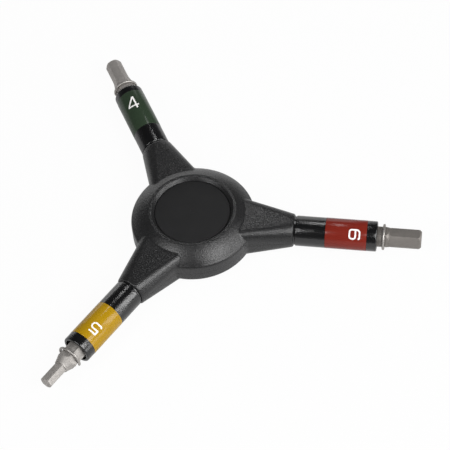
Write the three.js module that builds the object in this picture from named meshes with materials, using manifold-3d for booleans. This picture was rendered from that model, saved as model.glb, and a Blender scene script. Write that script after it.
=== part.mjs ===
// A three-armed hex wrench: a moulded two-shell hub with a round inset cap on each side,
// three steel bit holders, each with a coloured size band, and three pull-out hex bits.
// Millimetres, +Z up. The origin is where the three arm axes meet, halfway up the hub.
// The first arm points along +X, and each arm is built along +X in a turned group of its own.

import * as THREE from 'three';
import { mergeVertices } from 'three/addons/utils/BufferGeometryUtils.js';
import Module from 'manifold-3d';

const wasm = await Module();
wasm.setup();

// Clearances and shared allowances
const fitGap = 0.12;                 // around a piece held by the hub or by a holder
const slideGap = 0.1;                // on each flat between a bit's shank and its socket
const seatGap = 0.15;                // in front of a face that a piece is pushed against
const cutOverrun = 1.5;              // how far a cutting solid runs past the face it opens

// Bit shank, socket and holder wall
const shankAcrossFlats = 6.35;       // quarter-inch hex
const shankEndChamfer = 0.5;
const socketDepth = 14.4;
const holderWall = 1.22;             // steel left at the corners of the hex socket
const holderLength = 26.8;           // full-diameter part, from the hub's shadow gap to the mouth
const holderEdgeChamfer = 0.35;
const mouthReliefWall = 0.92;        // rim left round the turned relief in the mouth
const mouthReliefDepth = 1.3;
const magnetRadius = 2.5;
const magnetLength = 4;

// Holder root, the part held between the two shells
const shoulderStep = 0.3;            // how much thinner the spigot is than the holder
const rootLength = 6;                // hexagonal end that stops the holder from turning
const neckWidth = 1.8;               // groove that stops the holder from pulling out
const neckDepth = 0.9;

// Size bands, thin sleeves let into the holder
const bandThickness = 0.3;
const bandProud = 0.04;              // how far a band stands out of the holder
const bandLength = 13.6;
const bandLengthWide = 16.2;

// Rings and tips of the bits
const groovedRadius = 3.36;          // floor of the groove, cut only through the shank's corners
const ringWireRadius = 0.42;
const ringOpeningDegrees = 50;
const cornerRunOut = 0.8;            // over which a driver's corners rise out of its neck

// The 6 mm bit, from its holder's mouth outwards: ring, hexagonal stub, cone, neck, driver
const ringStandOff6 = 2.15;
const stubLength6 = 0.65;
const coneLength6 = 0.95;
const neckLength6 = 0.35;
const neckRadius6 = 3.2;
const driverLength6 = 10.4;
const driverAcrossFlats6 = 6;
const tipChamfer6 = 0.9;
const bandInset6 = 3.3;              // from its holder's mouth to the band

// The 5 mm bit, in the arm marked 4
const ringStandOff5 = 2.75;
const stubLength5 = 1.55;
const coneLength5 = 3.8;
const neckLength5 = 0.2;
const neckRadius5 = 3.05;
const driverLength5 = 7;
const driverAcrossFlats5 = 5;
const tipChamfer5 = 0.5;
const bandInset5 = 2.6;

// The 4 mm bit, in the arm marked 5
const ringStandOff4 = 3.1;
const stubLength4 = 1;
const coneLength4 = 3.4;
const neckLength4 = 0.1;
const neckRadius4 = 2.36;
const driverLength4 = 7.4;
const driverAcrossFlats4 = 4;
const tipChamfer4 = 0.5;
const bandInset4 = 3.4;

// Hub
const hubHalfThickness = 7.6;
const rimRadius = 20.57;
const rimHalfHeight = 3.3;
const creaseRadius = 1.27;           // rounding between the dome and the upright rim
const domeBulge = 0.3;               // height of the dome's arc over its chord
const recessRadius = 13.5;           // inner edge of the flat land
const landWidth = 1;
const recessDepth = 1.05;            // from the land down to the cap's face
const recessTaper = 0.9;             // how far the recess wall leans inwards over that depth
const capThickness = 1.2;
const capEdgeChamfer = 0.3;
const capPegRadius = 1.1;
const capPegLength = 2.4;
const seatWall = 1.6;                // hub wall under the cap
const coreWall = 0.8;                // between the core cavity and the cap's seat, in radius
const rootEndWall = 1;               // between the core cavity and a holder's inner end

// Collars, the arm roots moulded on the hub
const collarLength = 13.03;          // from the hub's rim to a collar's end face
const collarEndWall = 0.44;
const collarEndRound = 0.5;
const collarShadowGap = 0.5;         // open gap between the collar and the holder's shoulder
const collarRootHalfWidth = 8.95;    // at the middle plane, where the land ends
const collarRootHalfHeight = 6.15;
const collarRootCornerRadius = 2.5;
const collarRootDraftDegrees = 3;
const junctionFillet = 1.5;          // rounding between a collar and the hub's round body
const filletSink = 0.05;             // how far both edges of that rounding lie under the surface
const filletRoot = 0.4;              // how far its root lies behind the corner that it fills
const filletSpan = 2.6;              // longest chord of the rounding on its way round a collar

// Screws, bosses and pockets between the shells
const screwRadius = 1.25;
const screwHeadRadius = 2.1;
const screwHeadHeight = 1.5;
const screwSocketAcrossFlats = 1.9;
const bossWall = 1.5;
const screwSeatHeight = 3.5;         // from the middle plane to the underside of the screw head
const screwReach = 4.1;              // thread length beyond the middle plane
const locatorRadius = 1.2;
const locatorHeight = 2;
const pocketDepth = 2.6;
const pocketRimWall = 2.2;

// Shares of the sizes above
const bossCircleShare = 0.76;        // screw circle, of the core cavity's radius
const pegCircleShare = 0.72;         // cap peg circle, of the core cavity's radius
const rootHexShare = 0.98;           // corners of the root hexagon, of the spigot's radius
const collarEndCornerShare = 0.94;   // corner radius of a collar's end, of its half height
const ringOpenEndShare = 0.5;        // half of the ring's opening lies on each side
const screwSocketDepthShare = 0.6;   // of the head's height
const coneHollowShare = 0.07;        // dip of a bit's cone at its middle, of its drop in radius
const pocketArmClearanceShare = 0.3; // pocket wall beside an arm, of the spigot's radius

// Facets
const hexSides = 6;
const hubSegments = 54;
const holderSegments = 28;
const smallSegments = 16;
const pinSegments = 10;
const cornerSteps = 3;
const collarStations = 2;
const roundSteps = 2;
const filletSteps = 3;
const fittingTries = 30;
const flareSteps = 3;
const wireSides = 6;
const wireSteps = 16;

// Every arm, by the number on its band
const arms = [
  {
    label: '6', turnDegrees: 0, bandColour: 0x9c2f2b, bandSize: bandLength, bandInset: bandInset6,
    bit: 'hex_bit_6mm', ring: 'retaining_ring_6mm', socketTurnDegrees: -1,
    ringStandOff: ringStandOff6, stubLength: stubLength6, coneLength: coneLength6,
    neckLength: neckLength6, neckRadius: neckRadius6, driverLength: driverLength6,
    driverAcrossFlats: driverAcrossFlats6, tipChamfer: tipChamfer6, flared: false,
  },
  {
    label: '4', turnDegrees: 120, bandColour: 0x2f4436, bandSize: bandLengthWide,
    bandInset: bandInset5, bit: 'hex_bit_5mm', ring: 'retaining_ring_5mm',
    socketTurnDegrees: -12, ringStandOff: ringStandOff5, stubLength: stubLength5,
    coneLength: coneLength5, neckLength: neckLength5, neckRadius: neckRadius5,
    driverLength: driverLength5, driverAcrossFlats: driverAcrossFlats5,
    tipChamfer: tipChamfer5, flared: true,
  },
  {
    label: '5', turnDegrees: 240, bandColour: 0xc79a1c, bandSize: bandLength,
    bandInset: bandInset4, bit: 'hex_bit_4mm', ring: 'retaining_ring_4mm',
    socketTurnDegrees: 3, ringStandOff: ringStandOff4, stubLength: stubLength4,
    coneLength: coneLength4, neckLength: neckLength4, neckRadius: neckRadius4,
    driverLength: driverLength4, driverAcrossFlats: driverAcrossFlats4,
    tipChamfer: tipChamfer4, flared: false,
  },
];

// Sizes that follow from the ones above
const hexHalfTurn = Math.PI / hexSides;
const cornerRadiusOf = (acrossFlats) => acrossFlats / 2 / Math.cos(hexHalfTurn);
const socketAcrossFlats = shankAcrossFlats + 2 * slideGap;
const holderRadius = cornerRadiusOf(socketAcrossFlats) + holderWall;
const spigotRadius = holderRadius - shoulderStep;
const neckRadius = spigotRadius - neckDepth;
const rootAcrossFlats = 2 * Math.cos(hexHalfTurn) * rootHexShare * spigotRadius;
const capFaceHeight = hubHalfThickness - recessDepth;
const seatHeight = capFaceHeight - capThickness;
const seatRadius = recessRadius - recessTaper;
const capRadius = seatRadius - fitGap;
const landRadius = recessRadius + landWidth;
const coreRadius = seatRadius - coreWall;
const coreHeight = seatHeight - seatWall;
const rootStart = coreRadius + rootEndWall + seatGap;
const rootStop = rootStart + rootLength;
const neckStop = rootStop + neckWidth;
const collarEnd = rimRadius + collarLength;
const holderStart = collarEnd + collarShadowGap;
const mouth = holderStart + holderLength;
const socketFloor = mouth - socketDepth;
const magnetFloor = socketFloor - magnetLength - 2 * seatGap;
const bandRecessRadius = holderRadius - bandThickness - fitGap;
const collarEndRadius = spigotRadius + fitGap + collarEndWall;
const ringMeanRadius = groovedRadius + fitGap + ringWireRadius;
const ringGrooveHalfWidth = ringWireRadius + fitGap;
const bossRadius = screwRadius + fitGap + bossWall;
const bossCircle = bossCircleShare * coreRadius;
const pegCircle = pegCircleShare * coreRadius;
const armTurns = arms.map((arm) => THREE.MathUtils.degToRad(arm.turnDegrees));
const betweenTurns = armTurns.map((turn) => turn + Math.PI / arms.length);

// Geometry to solid and back

/** A closed geometry with shared corners, no flat triangles and its faces pointing out. */
function closedGeometry(geometry) {
  const bare = new THREE.BufferGeometry();
  bare.setAttribute('position', geometry.getAttribute('position').clone());
  if (geometry.index) bare.setIndex(geometry.index.clone());
  const merged = mergeVertices(bare, 1e-5);
  const corners = merged.getAttribute('position');
  const kept = [];
  const a = new THREE.Vector3();
  const b = new THREE.Vector3();
  const c = new THREE.Vector3();
  let volume = 0;
  for (let i = 0; i < merged.index.count; i += 3) {
    const [p, q, r] = [0, 1, 2].map((k) => merged.index.getX(i + k));
    if (p === q || q === r || r === p) continue;
    kept.push([p, q, r]);
    a.fromBufferAttribute(corners, p);
    b.fromBufferAttribute(corners, q);
    c.fromBufferAttribute(corners, r);
    volume += a.dot(b.cross(c));
  }
  merged.setIndex(kept.flatMap(([p, q, r]) => (volume < 0 ? [p, r, q] : [p, q, r])));
  return merged;
}

/** The solid inside a closed geometry. */
function solidFrom(geometry) {
  const closed = closedGeometry(geometry);
  return new wasm.Manifold(new wasm.Mesh({
    numProp: 3,
    vertProperties: new Float32Array(closed.getAttribute('position').array),
    triVerts: new Uint32Array(closed.index.array),
  }));
}

/** The geometry of a solid's surface. */
function geometryFrom(solid) {
  const { vertProperties, triVerts } = solid.getMesh();
  const geometry = new THREE.BufferGeometry();
  geometry.setAttribute('position', new THREE.BufferAttribute(vertProperties, 3));
  geometry.setIndex(new THREE.BufferAttribute(triVerts, 1));
  geometry.computeVertexNormals();
  return geometry;
}

const joined = (solids) => solids.reduce((sum, solid) => sum.add(solid));
const without = (solid, cutters) => cutters.reduce((rest, cutter) => rest.subtract(cutter), solid);

// Basic forms

/** A profile of [radius, height] points turned round Z, with a flat facet towards each arm. */
function turnedZ(profile, segments) {
  const points = profile.map(([radius, height]) => new THREE.Vector2(radius, height));
  const skin = new THREE.LatheGeometry(points, segments).rotateY(Math.PI / segments);
  return solidFrom(skin.rotateX(Math.PI / 2));
}

/** A profile of [radius, distance] points turned round an arm's axis, as a geometry along +X. */
function turnedArm(profile, segments) {
  const points = profile.map(([radius, distance]) => new THREE.Vector2(radius, distance));
  return new THREE.LatheGeometry(points, segments).rotateZ(-Math.PI / 2);
}

/** A round bar along Z, from one height to another, standing at (x, y). */
function barZ(radius, from, to, x = 0, y = 0, segments = pinSegments) {
  const length = to - from;
  const bar = new THREE.CylinderGeometry(radius, radius, length, segments).rotateX(Math.PI / 2);
  return solidFrom(bar.translate(x, y, from + length / 2));
}

/** The outline of a hexagon with corners on both sides of its first axis. */
function hexShape(acrossFlats, turn = 0) {
  const radius = cornerRadiusOf(acrossFlats);
  const corners = Array.from({ length: hexSides }, (_, k) => {
    const angle = turn + 2 * k * hexHalfTurn;
    return new THREE.Vector2(radius * Math.cos(angle), radius * Math.sin(angle));
  });
  return new THREE.Shape(corners);
}

/** A hexagonal bar along +X. The turn is measured from the sideways axis towards +Z. */
function hexArm(acrossFlats, from, to, turn = 0) {
  const settings = { depth: to - from, bevelEnabled: false };
  const bar = new THREE.ExtrudeGeometry(hexShape(acrossFlats, turn), settings);
  return bar.rotateY(Math.PI / 2).rotateX(Math.PI / 2).translate(from, 0, 0);
}

/** Copies of a geometry turned about Z to each of the given angles, as solids. */
function spread(geometry, turns) {
  return turns.map((turn) => solidFrom(geometry.clone().rotateZ(turn)));
}

// Hub form

/** Points of an arc from one angle to another, ends included. */
function arcPoints(centreX, centreY, radius, fromAngle, toAngle, steps) {
  return Array.from({ length: steps + 1 }, (_, k) => {
    const angle = fromAngle + ((toAngle - fromAngle) * k) / steps;
    return [centreX + radius * Math.cos(angle), centreY + radius * Math.sin(angle)];
  });
}

/** Outline of the hub's upper half: upright rim, rounded crease, bulging dome, flat land. */
function hubHalfProfile() {
  const slope = Math.atan2(hubHalfThickness - rimHalfHeight, rimRadius - landRadius);
  const lean = Math.PI / 2 - slope;
  const tangent = creaseRadius * Math.tan(lean / 2);
  const crease = arcPoints(
    rimRadius - creaseRadius, rimHalfHeight - tangent, creaseRadius, 0, lean, roundSteps,
  );
  const [startX, startY] = crease[crease.length - 1];
  const dome = Array.from({ length: roundSteps }, (_, k) => {
    const share = (k + 1) / (roundSteps + 1);
    const lift = 4 * domeBulge * share * (1 - share);
    return [
      startX + (landRadius - startX) * share + lift * Math.cos(lean),
      startY + (hubHalfThickness - startY) * share + lift * Math.sin(lean),
    ];
  });
  return [...crease, ...dome, [landRadius, hubHalfThickness]];
}

/** The round body of the hub, without its collars, from the lower land to the upper one. */
function hubBody() {
  const upper = hubHalfProfile();
  const lower = upper.map(([radius, height]) => [radius, -height]).reverse();
  return turnedZ(
    [[0, -hubHalfThickness], ...lower, ...upper, [0, hubHalfThickness]],
    hubSegments,
  );
}

/** One section of a collar: a rounded block with sides that lean in from the middle plane. */
function collarSection(halfWidth, halfHeight, cornerRadius, draft) {
  const centreZ = halfHeight - cornerRadius;
  const lean = centreZ * Math.sin(draft);
  const centreY = (halfWidth * Math.cos(draft) - cornerRadius - lean) / Math.cos(draft);
  const corner = arcPoints(centreY, centreZ, cornerRadius, draft, Math.PI / 2, cornerSteps);
  const left = corner.map(([y, z]) => [-y, z]).reverse();
  const upper = [[halfWidth, 0], ...corner, ...left];
  const lower = upper.map(([y, z]) => [-y, -z]);
  return [...upper, ...lower];
}

/** A closed skin over a row of sections, each at its own distance along +X. */
function loft(sections) {
  const count = sections[0].outline.length;
  const corners = sections.flatMap(({ at, outline }) => outline.map(([y, z]) => [at, y, z]));
  const faces = [];
  for (let s = 0; s + 1 < sections.length; s += 1) {
    for (let k = 0; k < count; k += 1) {
      const near = s * count + k;
      const nearNext = s * count + ((k + 1) % count);
      faces.push([near, near + count, nearNext], [nearNext, near + count, nearNext + count]);
    }
  }
  const last = (sections.length - 1) * count;
  for (let k = 1; k + 1 < count; k += 1) {
    faces.push([0, k, k + 1], [last, last + k + 1, last + k]);
  }
  const geometry = new THREE.BufferGeometry();
  geometry.setAttribute('position', new THREE.Float32BufferAttribute(corners.flat(), 3));
  geometry.setIndex(faces.flat());
  return geometry;
}

/** The outline of a collar at a distance along its arm, drawn in by an inset. */
function collarOutline(distance, inset = 0) {
  const share = (distance - landRadius) / (collarEnd - landRadius);
  const blend = (root, end) => THREE.MathUtils.lerp(root, end, share) - inset;
  return collarSection(
    blend(collarRootHalfWidth, collarEndRadius),
    blend(collarRootHalfHeight, collarEndRadius),
    blend(collarRootCornerRadius, collarEndCornerShare * collarEndRadius),
    THREE.MathUtils.degToRad(collarRootDraftDegrees) * (1 - share),
  );
}

/** A collar: drafted block at the hub, near-round at its end, with a rounded end edge. */
function collarGeometry() {
  const sectionAt = (distance, inset) => {
    return { at: distance, outline: collarOutline(distance, inset) };
  };
  const straightEnd = collarEnd - collarEndRound;
  const straight = Array.from({ length: collarStations + 1 }, (_, k) => {
    return sectionAt(coreRadius + ((straightEnd - coreRadius) * k) / collarStations, 0);
  });
  const rounded = Array.from({ length: roundSteps }, (_, k) => {
    const angle = ((k + 1) / roundSteps) * (Math.PI / 2);
    const inset = collarEndRound * (1 - Math.cos(angle));
    return sectionAt(straightEnd + collarEndRound * Math.sin(angle), inset);
  });
  return loft([...straight, ...rounded]);
}

/** Lines along a collar, close enough together for its fillet, and none in the middle plane. */
function filletLines() {
  const outline = collarOutline(landRadius);
  const lines = outline.flatMap(([y, z], corner) => {
    const [nextY, nextZ] = outline[(corner + 1) % outline.length];
    const spans = Math.ceil(Math.hypot(nextY - y, nextZ - z) / filletSpan);
    return Array.from({ length: spans }, (_, span) => ({ corner, share: span / spans }));
  });
  return lines.filter(({ corner, share }) => share > 0 || outline[corner][1] !== 0);
}

/** The point of a collar's skin on one of those lines, at a distance along the arm. */
function collarPoint({ corner, share }, distance) {
  const outline = collarOutline(distance);
  const [y, z] = outline[corner];
  const [nextY, nextZ] = outline[(corner + 1) % outline.length];
  const sideways = THREE.MathUtils.lerp(y, nextY, share);
  return new THREE.Vector3(distance, sideways, THREE.MathUtils.lerp(z, nextZ, share));
}

/** The nearest point of the round body's skin, and how far outside the skin a point lies. */
function nearestOnBody(point) {
  const profile = [[rimRadius, 0], ...hubHalfProfile()];
  const flat = new THREE.Vector3(Math.hypot(point.x, point.y), Math.abs(point.z), 0);
  const found = new THREE.Vector3();
  let nearest = { away: Infinity };
  for (let k = 0; k + 1 < profile.length; k += 1) {
    const edge = new THREE.Line3(
      new THREE.Vector3(...profile[k], 0), new THREE.Vector3(...profile[k + 1], 0),
    );
    edge.closestPointToPoint(flat, true, found);
    const away = found.distanceTo(flat);
    if (away < nearest.away) {
      const outward = edge.delta(new THREE.Vector3()).cross(flat.clone().sub(edge.start)).z < 0;
      nearest = { away, outward, radius: found.x, height: found.y };
    }
  }
  const scale = nearest.radius / flat.x;
  const height = nearest.height * Math.sign(point.z);
  return {
    gap: nearest.outward ? nearest.away : -nearest.away,
    spot: new THREE.Vector3(point.x * scale, point.y * scale, height),
  };
}

/** A ball laid against a collar's skin on one line, at a distance along the arm. */
function ballAt(lines, index, distance) {
  const point = collarPoint(lines[index], distance);
  const along = collarPoint(lines[index], distance + filletSink).sub(point);
  const before = collarPoint(lines[(index + lines.length - 1) % lines.length], distance);
  const across = collarPoint(lines[(index + 1) % lines.length], distance).sub(before);
  const outwards = across.cross(along).normalize();
  return { point, centre: outwards.multiplyScalar(junctionFillet).add(point) };
}

/** One section of a fillet: the arc of a ball that touches collar and body, and its root. */
function filletSection(lines, index) {
  let near = coreRadius;
  let far = collarEnd;
  for (let k = 0; k < fittingTries; k += 1) {
    const middle = (near + far) / 2;
    const touches = nearestOnBody(ballAt(lines, index, middle).centre).gap < junctionFillet;
    if (touches) near = middle;
    else far = middle;
  }
  const { point, centre } = ballAt(lines, index, far);
  const first = nearestOnBody(centre).spot.sub(centre).normalize();
  const last = point.sub(centre).normalize();
  const whole = first.angleTo(last);
  const spoke = (share, reach) => {
    const turned = first.clone().multiplyScalar(Math.sin((1 - share) * whole));
    turned.addScaledVector(last, Math.sin(share * whole));
    return turned.setLength(reach).add(centre);
  };
  const round = Array.from({ length: filletSteps + 1 }, (_, k) => {
    const share = k / filletSteps;
    return spoke(share, junctionFillet + (k % filletSteps === 0 ? filletSink : 0));
  });
  const rootReach = junctionFillet / Math.cos(whole / 2) + filletRoot;
  return [...round, spoke(1 / 2, rootReach)];
}

/** The fillet all round a collar where it leaves the round body. */
function junctionFilletGeometry() {
  const lines = filletLines();
  const sections = lines.map((_, index) => filletSection(lines, index));
  const count = sections[0].length;
  const faces = [];
  for (let s = 0; s < sections.length; s += 1) {
    const next = ((s + 1) % sections.length) * count;
    for (let k = 0; k < count; k += 1) {
      const on = (k + 1) % count;
      faces.push(s * count + k, next + k, s * count + on);
      faces.push(s * count + on, next + k, next + on);
    }
  }
  const corners = sections.flat().flatMap((corner) => corner.toArray());
  const geometry = new THREE.BufferGeometry();
  geometry.setAttribute('position', new THREE.Float32BufferAttribute(corners, 3));
  geometry.setIndex(faces);
  return geometry;
}

/** Everything that a shell wraps round a holder's root: hexagon, locking web and bore. */
function rootPocket() {
  const hexagon = hexArm(
    rootAcrossFlats + 2 * fitGap, rootStart - seatGap, rootStop + fitGap,
  );
  const bore = turnedArm([
    [0, rootStop],
    [neckRadius + fitGap, rootStop],
    [neckRadius + fitGap, neckStop - fitGap],
    [spigotRadius + fitGap, neckStop - fitGap],
    [spigotRadius + fitGap, collarEnd + cutOverrun],
    [0, collarEnd + cutOverrun],
  ], holderSegments);
  return [...spread(hexagon, armTurns), ...spread(bore, armTurns)];
}

/** The recess in one face: tapered wall, and the seat that the cap lies in. */
function capRecess() {
  const top = hubHalfThickness + cutOverrun;
  return turnedZ([
    [0, seatHeight],
    [seatRadius, seatHeight],
    [seatRadius, capFaceHeight],
    [recessRadius, hubHalfThickness],
    [recessRadius, top],
    [0, top],
  ], hubSegments);
}

/** The cavity in the middle of a shell, with a boss left standing round each screw. */
function coreCavity() {
  const cavity = barZ(coreRadius, -cutOverrun, coreHeight, 0, 0, hubSegments);
  return without(cavity, upright(bossRadius, -2 * cutOverrun, seatHeight, bossCircle));
}

/** Round bars along Z on a circle, one between each pair of arms. */
function upright(radius, from, to, circle, turns = betweenTurns) {
  return turns.map((turn) => {
    return barZ(radius, from, to, circle * Math.cos(turn), circle * Math.sin(turn));
  });
}

/** Radius of the circle on which the locators stand, in the middle of the rim pockets. */
function locatorCircle() {
  return (landRadius + rimRadius - pocketRimWall) / 2;
}

/** Pockets that thin the shell between the arms, each with a boss left for a locator. */
function rimPockets() {
  const inner = seatRadius;
  const outer = rimRadius - pocketRimWall;
  const armHalf = spigotRadius * (1 + pocketArmClearanceShare);
  const spreadAt = (radius) => Math.PI / arms.length - Math.asin(armHalf / radius);
  const outline = new THREE.Shape();
  outline.absarc(0, 0, outer, -spreadAt(outer), spreadAt(outer), false);
  outline.absarc(0, 0, inner, spreadAt(inner), -spreadAt(inner), true);
  outline.closePath();
  const settings = {
    depth: pocketDepth + cutOverrun, bevelEnabled: false, curveSegments: smallSegments / 2,
  };
  const pocket = new THREE.ExtrudeGeometry(outline, settings).translate(0, 0, -cutOverrun);
  const boss = locatorRadius + fitGap + bossWall;
  const bosses = upright(boss, -2 * cutOverrun, seatHeight, locatorCircle());
  return spread(pocket, betweenTurns).map((solid) => without(solid, bosses));
}

/** What both shells share: the upper half of the hub with its recess, cavities and pockets. */
function shellBlank() {
  const collars = spread(collarGeometry(), armTurns);
  const fillets = spread(junctionFilletGeometry(), armTurns);
  const form = joined([hubBody(), ...collars, ...fillets]);
  const reach = 2 * collarEnd;
  const half = new THREE.BoxGeometry(2 * reach, 2 * reach, 2 * reach).translate(0, 0, reach);
  const pegHoles = upright(
    capPegRadius + fitGap, coreHeight - cutOverrun, hubHalfThickness, pegCircle, armTurns,
  );
  const cutters = [capRecess(), coreCavity(), ...rimPockets(), ...rootPocket(), ...pegHoles];
  return without(form.intersect(solidFrom(half)), cutters);
}

/** Turns a solid of the upper side over to the lower side. */
function mirrored(solid) {
  return solidFrom(geometryFrom(solid).scale(1, 1, -1));
}

/** The upper shell, with blind holes for the screws and the locators. */
function upperShell(blank) {
  const holes = [
    ...upright(screwRadius + fitGap, -cutOverrun, screwReach + seatGap, bossCircle),
    ...upright(locatorRadius + fitGap, -cutOverrun, locatorHeight + seatGap, locatorCircle()),
  ];
  return without(blank, holes);
}

/** The lower shell, with countersunk screw holes and the locators that stand up from it. */
function lowerShell(blank) {
  const headRoom = screwHeadRadius + fitGap;
  const holes = [
    ...upright(screwRadius + fitGap, -cutOverrun, hubHalfThickness, bossCircle),
    ...upright(headRoom, screwSeatHeight, hubHalfThickness, bossCircle),
  ];
  const locators = upright(locatorRadius, -locatorHeight, pocketDepth, locatorCircle());
  return mirrored(joined([without(blank, holes), ...locators]));
}

/** An inset cap: a flat disc with a chamfered edge and pegs that plug into the shell. */
function cap() {
  const disc = turnedZ([
    [0, seatHeight],
    [capRadius, seatHeight],
    [capRadius, capFaceHeight - capEdgeChamfer],
    [capRadius - capEdgeChamfer, capFaceHeight],
    [0, capFaceHeight],
  ], hubSegments);
  const pegs = upright(
    capPegRadius, seatHeight - capPegLength, capFaceHeight - capThickness / 2, pegCircle, armTurns,
  );
  return joined([disc, ...pegs]);
}

/** A screw with its head down: plain thread body, flat head and a hex socket in the head. */
function closingScrew() {
  const headTop = -screwSeatHeight - seatGap;
  const headFace = headTop - screwHeadHeight;
  const body = turnedZ([
    [0, headFace],
    [screwHeadRadius, headFace],
    [screwHeadRadius, headTop],
    [screwRadius, headTop],
    [screwRadius, screwReach - screwRadius / 2],
    [screwRadius / 2, screwReach],
    [0, screwReach],
  ], pinSegments);
  const depth = screwSocketDepthShare * screwHeadHeight;
  const settings = { depth: depth + cutOverrun, bevelEnabled: false };
  const socket = new THREE.ExtrudeGeometry(hexShape(screwSocketAcrossFlats), settings);
  return body.subtract(solidFrom(socket.translate(0, 0, headFace - cutOverrun)));
}

// Arm pieces, all along +X

/** A holder: hexagonal root, locking neck, spigot, full-size barrel, band seat and socket. */
function holder(arm) {
  const bandStop = mouth - arm.bandInset + fitGap;
  const bandStart = bandStop - arm.bandSize - 2 * fitGap;
  const root = solidFrom(hexArm(rootAcrossFlats, rootStart, rootStop));
  const barrel = solidFrom(turnedArm([
    [0, rootStop - neckWidth / 2],
    [neckRadius, rootStop - neckWidth / 2],
    [neckRadius, neckStop],
    [spigotRadius, neckStop],
    [spigotRadius, holderStart],
    [holderRadius - holderEdgeChamfer, holderStart],
    [holderRadius, holderStart + holderEdgeChamfer],
    [holderRadius, bandStart],
    [bandRecessRadius, bandStart],
    [bandRecessRadius, bandStop],
    [holderRadius, bandStop],
    [holderRadius, mouth - holderEdgeChamfer],
    [holderRadius - holderEdgeChamfer, mouth],
    [0, mouth],
  ], holderSegments));
  const turn = THREE.MathUtils.degToRad(arm.socketTurnDegrees);
  const socket = solidFrom(hexArm(socketAcrossFlats, socketFloor, mouth + cutOverrun, turn));
  const reliefRadius = holderRadius - mouthReliefWall;
  const reliefFloor = mouth - mouthReliefDepth;
  const relief = solidFrom(turnedArm([
    [0, reliefFloor], [reliefRadius, reliefFloor], [reliefRadius, mouth + cutOverrun],
    [0, mouth + cutOverrun],
  ], holderSegments));
  const magnetBore = solidFrom(turnedArm([
    [0, magnetFloor], [magnetRadius + fitGap, magnetFloor],
    [magnetRadius + fitGap, socketFloor + seatGap], [0, socketFloor + seatGap],
  ], smallSegments));
  return without(joined([root, barrel]), [socket, relief, magnetBore]);
}

/** The magnet that lies at the bottom of a socket. */
function magnet() {
  const start = magnetFloor + seatGap;
  return turnedArm([
    [0, start], [magnetRadius, start], [magnetRadius, start + magnetLength],
    [0, start + magnetLength],
  ], smallSegments);
}

/** A size band: a thin sleeve that stands a little proud of the holder. */
function band(arm) {
  const stop = mouth - arm.bandInset;
  const start = stop - arm.bandSize;
  const inner = holderRadius - bandThickness;
  const outer = holderRadius + bandProud;
  return turnedArm([
    [inner, start], [outer, start], [outer, stop], [inner, stop], [inner, start],
  ], holderSegments);
}

/** Distances along the arm at which a bit's shape changes. */
function bitStations(arm) {
  const shankEnd = socketFloor + seatGap;
  const ring = mouth + arm.ringStandOff;
  const coneStart = ring + arm.stubLength;
  const neckStart = coneStart + arm.coneLength;
  const driverStart = neckStart + arm.neckLength;
  return { shankEnd, ring, coneStart, neckStart, driverStart, tip: driverStart + arm.driverLength };
}

/** Hexagonal sections of a bit from shank to tip, with a flare between them on some bits. */
function hexSections(arm) {
  const { shankEnd, coneStart, driverStart, tip } = bitStations(arm);
  const turn = THREE.MathUtils.degToRad(arm.socketTurnDegrees);
  const sectionAt = (at, acrossFlats) => {
    return { at, outline: hexShape(acrossFlats, turn).getPoints().map(({ x, y }) => [x, y]) };
  };
  const steps = arm.flared ? flareSteps : 1;
  const start = arm.flared ? coneStart : driverStart;
  const flare = Array.from({ length: steps + 1 }, (_, k) => {
    const share = k / steps;
    const acrossFlats = THREE.MathUtils.lerp(
      arm.driverAcrossFlats, shankAcrossFlats, (1 - share) ** 2,
    );
    return sectionAt(THREE.MathUtils.lerp(start, driverStart, share), acrossFlats);
  });
  return [
    sectionAt(shankEnd, shankAcrossFlats), ...flare, sectionAt(tip, arm.driverAcrossFlats),
  ];
}

/** A hex bit: a bar of hexagonal sections, turned down at its groove, cone, neck and ends. */
function hexBit(arm) {
  const { shankEnd, ring, coneStart, neckStart, driverStart, tip } = bitStations(arm);
  const shankCorner = cornerRadiusOf(shankAcrossFlats);
  const driverCorner = cornerRadiusOf(arm.driverAcrossFlats);
  const clearOf = (radius) => radius / Math.cos(Math.PI / smallSegments);
  const drop = shankCorner - arm.neckRadius;
  const driverClear = clearOf(Math.max(driverCorner, arm.neckRadius));
  const turning = solidFrom(turnedArm([
    [0, shankEnd],
    [shankCorner - shankEndChamfer, shankEnd],
    [clearOf(shankCorner), shankEnd + shankEndChamfer],
    [clearOf(shankCorner), ring - ringGrooveHalfWidth],
    [groovedRadius, ring - ringGrooveHalfWidth],
    [groovedRadius, ring + ringGrooveHalfWidth],
    [clearOf(shankCorner), ring + ringGrooveHalfWidth],
    [clearOf(shankCorner), coneStart],
    [shankCorner - (1 / 2 + coneHollowShare) * drop, (coneStart + neckStart) / 2],
    [arm.neckRadius, neckStart],
    [arm.neckRadius, driverStart],
    [driverClear, driverStart + cornerRunOut],
    [driverClear, tip - arm.tipChamfer],
    [driverCorner - arm.tipChamfer, tip],
    [0, tip],
  ], smallSegments));
  return solidFrom(loft(hexSections(arm))).intersect(turning);
}

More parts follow.
